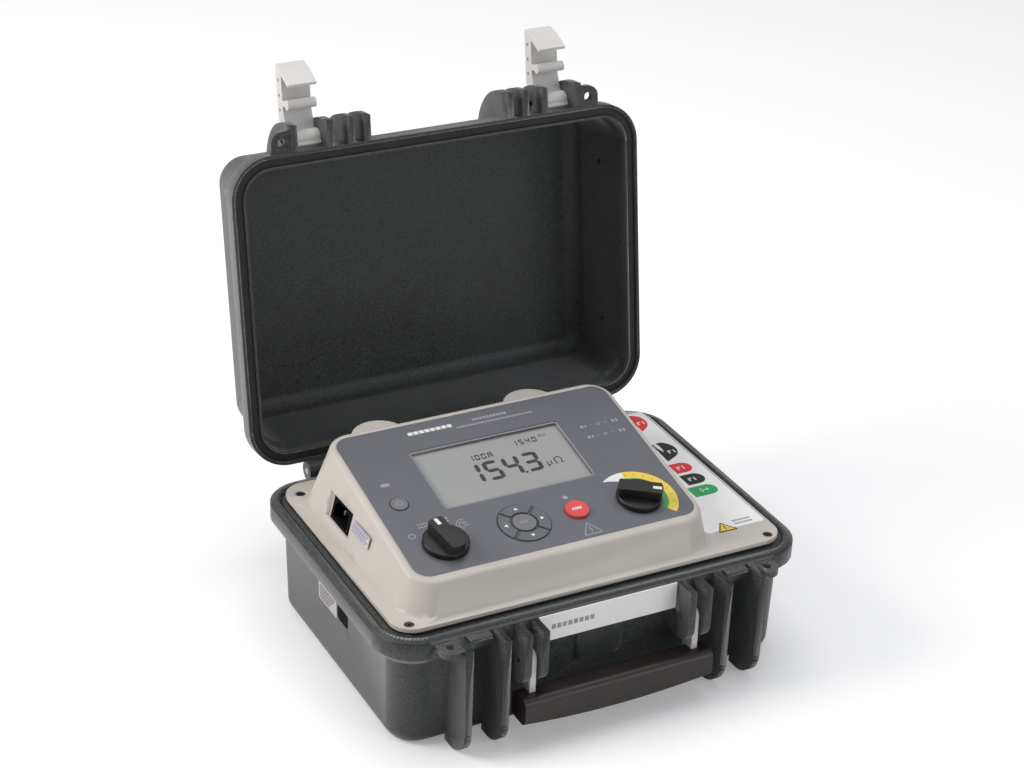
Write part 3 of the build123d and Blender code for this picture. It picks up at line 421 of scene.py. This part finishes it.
# printed marks: thin closed prisms laid on a surface
def prisms(name, outlines, place, depth, material, body, low=0.0):
    work = bmesh.new()
    for outline in outlines:
        ring = [work.verts.new((u * mm, v * mm, low * mm)) for u, v in outline]
        face = work.faces.new(ring)
        face.normal_update()
        if face.normal.z < 0:
            face.normal_flip()
        grown = bmesh.ops.extrude_face_region(work, geom=[face])
        tops = [g for g in grown["geom"] if isinstance(g, bmesh.types.BMVert)]
        bmesh.ops.translate(work, verts=tops, vec=(0, 0, depth * mm))
    bmesh.ops.recalc_face_normals(work, faces=work.faces)
    mesh = bpy.data.meshes.new(name)
    work.to_mesh(mesh)
    work.free()
    mesh.transform(place)
    piece = linkPiece(name, mesh)
    coat(piece, material)
    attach(piece, body)
    return piece


def arc(u, v, r, start, end, steps=24):
    return [(u + r * cos(radians(start + (end - start) * k / steps)),
             v + r * sin(radians(start + (end - start) * k / steps))) for k in range(steps + 1)]


def band(u, v, inner, outer, start, end, steps=24):
    pieces = []
    for k in range(steps):
        a = start + (end - start) * k / steps
        b = start + (end - start) * (k + 1) / steps
        pieces.append(arc(u, v, outer, a, b, 1) + arc(u, v, inner, b, a, 1))
    return pieces


def bar(u, v, w, h, lean=0.0):
    return [(u - w / 2 - lean * h / 2, v - h / 2), (u + w / 2 - lean * h / 2, v - h / 2),
            (u + w / 2 + lean * h / 2, v + h / 2), (u - w / 2 + lean * h / 2, v + h / 2)]


def turned(u, v, angle, points):
    a = radians(angle)
    return [(u + p * cos(a) - q * sin(a), v + p * sin(a) + q * cos(a)) for p, q in points]


def stroke(points, width):
    shapes = []
    for (u0, v0), (u1, v1) in zip(points, points[1:]):
        angle = atan2(v1 - v0, u1 - u0)
        du, dv = -sin(angle) * width / 2, cos(angle) * width / 2
        shapes.append([(u0 + du, v0 + dv), (u0 - du, v0 - dv), (u1 - du, v1 - dv), (u1 + du, v1 + dv)])
    return shapes


# print thicknesses in mm, and half the thickness of the fascia film
printed = {"face": 0.06, "over": 0.05, "digits": 0.08, "knob": 0.1, "filmHalf": 0.35}
faceTop = (fromFace @ middle("fascia")).z / mm + printed["filmHalf"]


def faceInk(name, outlines, color, low=faceTop, body="case", depth=printed["face"]):
    return prisms(name, outlines, facePlace, depth, ink[color], body, low)


# seven-bar digits of the display
digitBars = {"0": "abcdef", "1": "bc", "2": "abged", "3": "abgcd", "4": "fgbc", "5": "afgcd", "6": "afgedc",
             "7": "abc", "8": "abcdefg", "9": "abcdfg", "A": "abcefg"}


def digit(symbol, u, v, w, h, thick, lean):
    half, gap = h / 2, thick * 0.18
    places = {"a": (w / 2, h - thick / 2, 1), "g": (w / 2, half, 1), "d": (w / 2, thick / 2, 1),
              "f": (thick / 2, half * 1.5, 0), "b": (w - thick / 2, half * 1.5, 0),
              "e": (thick / 2, half * 0.5, 0), "c": (w - thick / 2, half * 0.5, 0)}
    shapes = []
    for key in digitBars[symbol]:
        cu, cv, flat = places[key]
        length = (w if flat else half + thick / 2) / 2 - thick * 0.25 - gap
        t = thick / 2
        line = [(-length, 0), (-length + t, t), (length - t, t), (length, 0), (length - t, -t),
                (-length + t, -t)]
        if not flat:
            line = [(b, a) for a, b in line]
        shapes.append([(u + cu + a + (cv + b) * lean, v + cv + b) for a, b in line])
    return shapes


display = {
    "big": {"at": (-61.1, -6.4), "size": (15.4, 24.9), "thick": 3.9, "step": 18.7, "text": "1543"},
    "amps": {"at": (-49.0, 22.2), "size": (4.6, 7.0), "thick": 1.3, "step": 6.2, "text": "100A"},
    "volts": {"at": (-2.8, 29.6), "size": (4.6, 6.6), "thick": 1.3, "step": 6.4, "text": "1540"},
    "pointAfter": 3, "point": 2.4, "lean": 0.06, "border": (145.6, 77.8), "borderWidth": 1.9,
    "micro": (15.6, -3.0), "ohm": (27.0, -2.6),
    "millivolt": ([(25.0, 34.2), (25.3, 37.2), (26.8, 37.2), (26.6, 34.2)],
                  [(28.8, 37.2), (29.8, 34.2), (31.6, 37.2)]),
}


def makeDisplay():
    top = topOf("lcd_module")
    shapes = []
    for part in ("big", "amps", "volts"):
        row = display[part]
        u, v = row["at"]
        for k, symbol in enumerate(row["text"]):
            w, h = row["size"]
            shapes += digit(symbol, u + k * row["step"], v, w, h, row["thick"], display["lean"])
    big = display["big"]
    (u, v), size = big["at"], display["point"]
    u += display["pointAfter"] * big["step"] - (big["step"] - big["size"][0]) / 2
    shapes.append(bar(u, v + size / 2, size, size, 0.2))
    u, v = display["micro"]
    shapes += stroke([(u, v - 2.6), (u + 0.7, v + 5.2)], 1.0)
    shapes += stroke([(u + 0.1, v + 0.4), (u + 3.6, v + 0.4)], 0.9)
    shapes += stroke([(u + 3.8, v + 0.2), (u + 4.3, v + 5.2)], 1.0)
    u, v = display["ohm"]
    shapes += band(u, v + 4.2, 2.9, 4.0, -55, 235, 20)
    for near, far in ((-4.4, -1.4), (1.4, 4.4)):
        shapes += stroke([(u + near, v), (u + far, v)], 1.0)
    for points in display["millivolt"]:
        shapes += stroke(points, 0.5)
    prisms("lcd_digits", shapes, facePlace, printed["digits"], lcdInk, "case", top)
    u, v = onFace(middle("lcd_window"))
    wide, high = display["border"]
    edge = display["borderWidth"]
    frameBars = [bar(u + side * (wide - edge) / 2, v, edge, high) for side in (-1, 1)]
    frameBars += [bar(u, v + side * (high - edge) / 2, wide - 2 * edge, edge) for side in (-1, 1)]
    faceInk("lcd_border", frameBars, "lavender", topOf("lcd_window"), depth=printed["over"])


makeDisplay()


# marks on the fascia
keypad = {"rings": ((10.6, 11.2), (11.7, 12.25), (22.95, 23.7)), "webHalf": 0.85, "webReach": (12.2, 23.0),
          "line": 0.6, "power": 8.0, "arrowReach": 16.9, "arrow": (2.1, -1.2, 1.9), "testStep": 2.35,
          "testBar": (1.6, 2.8)}


def makeKeypadMarks():
    u, v = onFace(middle("key_ok"))
    top = topOf("key_up")
    tip, back, half = keypad["arrow"]
    for k, side in enumerate(("right", "up", "left", "down")):
        corners = [(tip, 0), (back, half), (back, -half)]
        outline = turned(u, v, 90 * k, [(keypad["arrowReach"] + p, q) for p, q in corners])
        faceInk("arrow_" + side, [outline], "white", top, "button_" + side)
    shapes = band(u - 2.0, v, 1.2, 1.9, 0, 360, 16) + stroke([(u + 1.4, v - 1.9), (u + 1.4, v + 1.9)], 0.7)
    shapes += stroke([(u + 3.6, v + 1.9), (u + 1.7, v), (u + 3.6, v - 1.9)], 0.7)
    faceInk("ok_mark", shapes, "grey", topOf("key_ok"), "button_ok")
    lines = []
    for inner, outer in keypad["rings"]:
        lines += band(u, v, inner, outer, 0, 360, 48)
    for k in range(4):
        for off in (-keypad["webHalf"], keypad["webHalf"]):
            ends = turned(u, v, 45 + 90 * k, [(r, off) for r in keypad["webReach"]])
            lines += stroke(ends, keypad["line"])
    pu, pv = onFace(middle("key_power"))
    lines += band(pu, pv, keypad["power"], keypad["power"] + keypad["line"], 0, 360, 32)
    faceInk("keypad_lines", lines, "black")
    shapes = band(pu, pv - 0.2, 2.4, 3.1, 120, 420, 20) + [bar(pu, pv + 2.2, 0.7, 3.2)]
    faceInk("power_mark", shapes, "grey", topOf("key_power"), "button_power")
    tu, tv = onFace(middle("key_test"))
    wide, high = keypad["testBar"]
    shapes = [bar(tu - 3.5 + keypad["testStep"] * k, tv, wide, high) for k in range(4)]
    faceInk("test_mark", shapes, "white", topOf("key_test"), "button_test")


makeKeypadMarks()


dial = {"green": (22.0, 26.5), "yellow": (26.5, 35.0), "start": -47.0, "end": 88.0, "tail": 37.0,
        "tickReach": (29.2, 32.4), "tickStep": 15.5}


def makeDialBands():
    u, v = onFace(rightKnob)
    for color in ("green", "yellow"):
        inner, outer = dial[color]
        faceInk("dial_" + color, band(u, v, inner, outer, dial["start"], dial["end"], 30), color)
    tail = []
    steps = 12
    inner, outer = dial["green"][0], dial["yellow"][1]
    for k in range(steps):
        a, b = [dial["end"] + dial["tail"] * n / steps for n in (k, k + 1)]
        ia, ib = [inner + (outer - 0.5 - inner) * (n / steps) ** 1.5 for n in (k, k + 1)]
        tail.append(arc(u, v, outer, a, b, 1) + arc(u, v, ib, b, b, 1)[:1] + arc(u, v, ia, a, a, 1)[:1])
    faceInk("dial_tail", tail, "white")
    ticks = []
    for k in range(9):
        a = radians(dial["start"] + 8 + dial["tickStep"] * k)
        ticks += stroke([(u + r * cos(a), v + r * sin(a)) for r in dial["tickReach"]], 0.8)
    faceInk("dial_ticks", ticks, "grey", faceTop + printed["face"], depth=printed["over"])


makeDialBands()


# rows of printed blocks: first centre, step, count and block size
legends = {
    "name": {"at": (-85.2, 69.4), "step": 5.4, "count": 8, "block": (4.4, 3.9), "color": "white"},
    "model": {"at": (-22.6, 71.0), "step": 3.4, "count": 10, "block": (2.6, 3.0), "color": "grey"},
    "type": {"at": (-41.0, 65.0), "step": 2.7, "count": 28, "block": (2.1, 2.2), "color": "grey"},
}
rangeBlocks = ((66.0, 2.6, 3.6), (69.6, 1.6, 3.6), (75.0, 2.6, 0.7), (90.0, 2.6, 0.7), (97.5, 2.6, 3.6),
               (101.2, 2.0, 3.6))


# marks round the left knob, from its centre: a ring, two blocks of print and a pair of waves
selector = {"ring": (-22.8, 17.5), "print": ((-12.3, 29.0), (6.4, 29.6)), "step": (2.6, 3.4),
            "block": (1.7, 2.0), "wave": (25.5, 17.5), "waveRadii": (4.0, 6.4)}


def makeLegends():
    u, v = onFace(leftKnob)
    du, dv = selector["ring"]
    shapes = band(u + du, v + dv, 2.2, 3.2, 0, 360, 20)
    across, down = selector["step"]
    wide, high = selector["block"]
    for du, dv in selector["print"]:
        for row in range(2):
            shapes += [bar(u + du + across * k, v + dv - down * row, wide, high) for k in range(4)]
    du, dv = selector["wave"]
    for radius in selector["waveRadii"]:
        shapes += band(u + du, v + dv, radius, radius + 0.8, 70, 250, 14)
    shapes += [bar(u + du + 1.0, v + dv + 2.1, 5.0, 0.9), bar(u + du + 1.5, v + dv - 1.1, 4.4, 0.9)]
    faceInk("selector_legends", shapes, "grey")
    for name, row in legends.items():
        (u, v), (wide, high) = row["at"], row["block"]
        shapes = [bar(u + row["step"] * k, v, wide, high) for k in range(row["count"])]
        faceInk(name + "_marks", shapes, row["color"])
    rows = []
    for v in (31.5, 16.8):
        rows += [bar(u, v, wide, high) for u, wide, high in rangeBlocks]
        rows += band(82.5, v, 1.1, 1.8, 0, 360, 12)
    faceInk("range_marks", rows, "grey")
    u, v = onFace(middle("key_test"))
    u, v, half = u + 1.0, v - 31.0, 8.4
    corners = [(u - half, v), (u, v + half * 1.72), (u + half, v), (u - half, v)]
    bolt = [(u + 0.9, v + 9.6), (u - 1.3, v + 6.0), (u + 1.0, v + 6.0), (u - 0.7, v + 2.2)]
    faceInk("caution_outline", stroke(corners, 0.9) + stroke(bolt, 0.8), "grey")


makeLegends()
print("fascia printed")


# white pointer marks on the knobs
pointer = {"reach": (10.4, 18.2), "half": 1.7, "turns": {"left": 100.0, "right": -28.0}}


def makePointers():
    near, far = pointer["reach"]
    half = pointer["half"]
    for side, centre in (("left", leftKnob), ("right", rightKnob)):
        u, v = onFace(centre)
        corners = [(near, -half), (far, -half), (far, half), (near, half)]
        outline = turned(u, v, pointer["turns"][side], corners)
        name = side + "_knob"
        faceInk(name + "_mark", [outline], "white", topOf(name), side + "_selector", printed["knob"])


makePointers()


# marks on the deck overlay
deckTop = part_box("terminal_label")[1].z
deckPlace = Matrix.Translation((0, 0, deckTop))


def deckInk(name, outlines, color, lift=0.0):
    return prisms(name, outlines, deckPlace, printed["over"], ink[color], "case", lift)


def tag(x0, x1, y0, y1):
    half = (y1 - y0) / 2
    return [(x0, y0)] + arc(x1 - half * 0.9, (y0 + y1) / 2, half, -90, 90, 14) + [(x0, y1)]


# left, right, near and far side of each tag, and its colour
deckTags = {"potential_red": ((153, 171.5, 3.5, 21), "red"),
            "potential_black": ((152, 172, -18.5, -0.5), "black"),
            "guard_green": ((147, 172.5, -39.5, -22.5), "green")}
cautionSign = [(142.7, -86.5), (134.7, -99.5), (151.9, -99.9)]


def makeDeckMarks():
    drop = arc(161.2, 103.7, 15.9, -60, 60, 16)
    deckInk("current_red", [[(164, 86)] + drop + [(164.5, 118)]], "red")
    drop = arc(160, 47, 16.4, -58, 60, 16)
    deckInk("current_black", [[(157, 27)] + drop + [(158.5, 60), (157.5, 37)]], "black")
    arrow = [(161.6, 64.5), (164.2, 56), (163.6, 48), (162, 43.5), (161.0, 49), (159.6, 56)]
    deckInk("current_arrow", [arrow], "white", printed["over"])
    for name, (sides, color) in deckTags.items():
        deckInk(name, [tag(*sides)], color)
    marks = []
    for x, y in ((161, 12.3), (160, -9.5), (170, 101), (169, 42)):
        marks += [bar(x - 2.4, y, 1.6, 5.4), bar(x - 0.6, y + 1.8, 2.6, 1.3), bar(x + 3.2, y, 1.4, 5.4)]
    marks += [bar(158, -30.5, 1.0, 7.0), bar(160.0, -30.5, 7.0, 1.0), bar(164, -30.5, 1.0, 4.4)]
    deckInk("terminal_marks", marks, "white", printed["face"])
    deckInk("caution_yellow", [cautionSign], "yellow")
    lines = stroke(cautionSign + cautionSign[:1], 1.0) + stroke([(142.9, -91.0), (142.9, -96.8)], 1.0)
    deckInk("caution_edge", lines, "black", printed["over"])
    rows = [bar(155.4 + 3.1 * k, y, 2.4, 2.6) for y in (-87.6, -92.4) for k in range(6)]
    deckInk("rating_marks", rows, "grey")


makeDeckMarks()


def wallPlace(point, out, across):
    up = out.cross(across)
    return Matrix.Translation(point) @ Matrix((across, up, out)).transposed().to_4x4()


sideRows = {"at": (-15, 5.4), "step": (4.1, 3.6), "block": (3.6, 1.9), "rows": 4, "longest": 8}
inletRows = {"at": (-14.6, 3.9), "step": (3.5, 2.6), "block": (2.2, 1.5), "rows": 4, "longest": 9}


def makeSideLabelMarks():
    label = nodes["side_label"].data
    outer = min(label.polygons, key=lambda face: face.normal.x * face.area)
    point = middle("side_label")
    point = point + outer.normal * (outer.center - point).dot(outer.normal)
    place = wallPlace(point, outer.normal.copy(), Vector((0, -1, 0)))
    (u, v), (across, down), (wide, high) = sideRows["at"], sideRows["step"], sideRows["block"]
    shapes = []
    for row in range(sideRows["rows"]):
        count = sideRows["longest"] - row
        shapes += [bar(u + across * k, v - down * row, wide, high) for k in range(count)]
    prisms("side_label_marks", shapes, place, printed["over"], ink["violet"], "case")


def makeInletLabelMarks():
    inletAxis = [Vector(m["axis"]) for m in frame["record"]["mounts"] if m["name"] == "mains_inlet"][0]
    corners = [corner.co for corner in nodes["inlet_label"].data.vertices]
    face = max(corner.dot(inletAxis) for corner in corners)
    centre = middle("inlet_label")
    place = wallPlace(centre + inletAxis * (face - centre.dot(inletAxis)), inletAxis, Vector((0, -1, 0)))
    (u, v), (across, down), (wide, high) = inletRows["at"], inletRows["step"], inletRows["block"]
    shapes = []
    for row in range(inletRows["rows"]):
        width = wide + 0.45 * (2 * row % 3)
        count = inletRows["longest"] - row % 2
        shapes += [bar(u + across * k, v - down * row, width, high) for k in range(count)]
    prisms("inlet_label_marks", shapes, place, printed["over"], ink["blue"], "case")


makeSideLabelMarks()
makeInletLabelMarks()


nameplate = {"marks": 8, "step": 5.2, "first": -52, "block": (3.8, 4.6)}


def makeNameplateMarks():
    low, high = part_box("front_nameplate")
    point = Vector(((low.x + high.x) / 2, low.y, (low.z + high.z) / 2))
    place = wallPlace(point, Vector((0, -1, 0)), Vector((1, 0, 0)))
    wide, high = nameplate["block"]
    marks = range(nameplate["marks"])
    shapes = [bar(nameplate["first"] + nameplate["step"] * k, 0.5, wide, high) for k in marks]
    prisms("nameplate_marks", shapes, place, printed["over"], ink["grey"], "case")


makeNameplateMarks()
print("labels printed")


# floor, camera and lights
studio = {"floor": (0.86, 0.86, 0.86), "floorGlow": 0.22, "floorSize": 40.0, "world": (0.93, 0.95, 1.0),
          "worldLight": 0.34}


def makeFloor():
    bpy.ops.mesh.primitive_plane_add(size=studio["floorSize"])
    floor = bpy.context.object
    floor.name = "floor"
    material = bpy.data.materials.new("floor")
    material.use_nodes = True
    shader = material.node_tree.nodes["Principled BSDF"]
    shader.inputs["Base Color"].default_value = rgba(studio["floor"])
    shader.inputs["Roughness"].default_value = 0.9
    shader.inputs["Emission Color"].default_value = (1, 1, 1, 1)
    seen = add(material.node_tree, "ShaderNodeLightPath").outputs["Is Camera Ray"]
    glow = mathNode(material.node_tree, "MULTIPLY", seen, studio["floorGlow"])
    material.node_tree.links.new(glow, shader.inputs["Emission Strength"])
    floor.data.materials.append(material)


def makeCamera():
    view = {"turn": -28.09, "height": 27.6, "roll": 2.09, "distance": 1.9832,
            "aim": (-0.02245, 0.0, 0.24796), "lens": 82.1}
    turn, height, roll = radians(view["turn"]), radians(view["height"]), radians(view["roll"])
    back = Vector((sin(turn) * cos(height), -cos(turn) * cos(height), sin(height)))
    right = Vector((0, 0, 1)).cross(back).normalized()
    up = back.cross(right)
    across = right * cos(roll) + up * sin(roll)
    upward = up * cos(roll) - right * sin(roll)
    data = bpy.data.cameras.new("camera")
    data.lens = view["lens"]
    data.sensor_width = 36.0
    data.clip_end = 100.0
    camera = bpy.data.objects.new("camera", data)
    bpy.context.scene.collection.objects.link(camera)
    place = Matrix((across, upward, back)).transposed().to_4x4()
    camera.matrix_world = Matrix.Translation(Vector(view["aim"]) + back * view["distance"]) @ place
    bpy.context.scene.camera = camera


lamps = {
    "key": {"at": (-2.7, 0.9, 1.9), "size": 1.6, "power": 74.0, "color": (1.0, 0.965, 0.93)},
    "top": {"at": (0.3, 0.5, 3.0), "size": 2.4, "power": 42.0, "color": (1.0, 1.0, 1.0)},
    "fill": {"at": (1.6, -3.0, 1.7), "size": 2.0, "power": 25.0, "color": (0.97, 0.98, 1.0)},
}


def makeLights():
    for name, lamp in lamps.items():
        data = bpy.data.lights.new(name, "AREA")
        data.energy = lamp["power"]
        data.size = lamp["size"]
        data.color = lamp["color"]
        light = bpy.data.objects.new(name, data)
        bpy.context.scene.collection.objects.link(light)
        aim = Vector((0, 0, 0.15)) - Vector(lamp["at"])
        turn = aim.to_track_quat("-Z", "Y").to_matrix().to_4x4()
        light.matrix_world = Matrix.Translation(lamp["at"]) @ turn
    world = bpy.data.worlds.new("studio")
    world.use_nodes = True
    sky = world.node_tree.nodes["Background"]
    sky.inputs["Color"].default_value = rgba(studio["world"])
    sky.inputs["Strength"].default_value = studio["worldLight"]
    bpy.context.scene.world = world


makeFloor()
makeCamera()
makeLights()
bpy.context.scene.view_settings.view_transform = "Standard"
print("studio ready")
